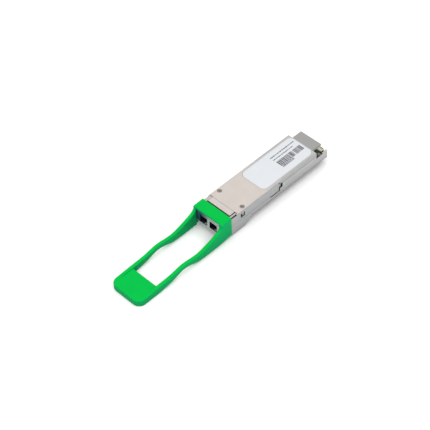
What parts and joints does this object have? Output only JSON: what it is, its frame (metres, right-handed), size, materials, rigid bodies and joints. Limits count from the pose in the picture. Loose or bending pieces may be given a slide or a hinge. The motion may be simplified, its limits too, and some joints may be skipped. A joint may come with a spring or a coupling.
{
  "type": "optical transceiver module",
  "caption": "Slim metal pluggable module with a fibre receptacle at the front, an edge connector at the rear and a coloured pull-tab latch.",
  "frame": {"origin": "on the underside plane of the pull tab, under the middle of the whole length", "axes": "+Y from the pull tab to the edge connector, +Z out of the labelled face, +X to the right seen from the pull tab"},
  "size_m": [0.0188, 0.1254, 0.0127],
  "materials": {
    "cast_zinc": "satin nickel plating on a die casting",
    "stamped_steel": "bright stamped sheet",
    "green_polymer": "moulded, softly glossy",
    "label_paper": "satin white polyester label",
    "screw_steel": "plain steel",
    "port_plastic": "dark moulding",
    "ceramic": "polished zirconia",
    "gold_plate": "gold-plated metal",
    "board_laminate": "dark green solder mask",
    "flex_polyimide": "amber film",
    "chip_package": "moulded black",
    "ferrite": "dark grey",
    "thermal_gel": "soft grey-blue pad",
    "gasket_rubber": "conductive elastomer",
    "spring_steel": "drawn wire"
  },
  "bodies": {
    "module": {"bottom_shell": "cast_zinc", "top_shell": "cast_zinc", "top_label": "label_paper", "receptacle": "port_plastic", "barrel_clamp": "stamped_steel", "circuit_board": "board_laminate", "lid_screw_left": "screw_steel", "lid_screw_right": "screw_steel", "return_spring_left": "spring_steel", "return_spring_right": "spring_steel", "seam_gasket_left": "gasket_rubber", "seam_gasket_right": "gasket_rubber", "transmit_sleeve": "ceramic", "receive_sleeve": "ceramic", "transmit_barrel": "gold_plate", "receive_barrel": "gold_plate", "transmit_housing": "gold_plate", "receive_housing": "gold_plate", "transmit_flex": "flex_polyimide", "receive_flex": "flex_polyimide", "laser_driver": "chip_package", "receive_amplifier": "chip_package", "retimer": "chip_package", "microcontroller": "chip_package", "inductor_front": "ferrite", "inductor_rear": "ferrite", "retimer_thermal_pad": "thermal_gel", "optics_thermal_pad": "thermal_gel"},
    "latch": {"latch_slider": "stamped_steel", "pull_tab": "green_polymer"}
  },
  "joints": [
    {"name": "latch_slide", "type": "slide", "parent": "module", "child": "latch", "axis": [0, -1, 0], "range_m": [0, 0.0025], "stiffness_N_per_m": 1200, "springref_m": -0.001, "deforming": ["return_spring_left", "return_spring_right"]}
  ]
}
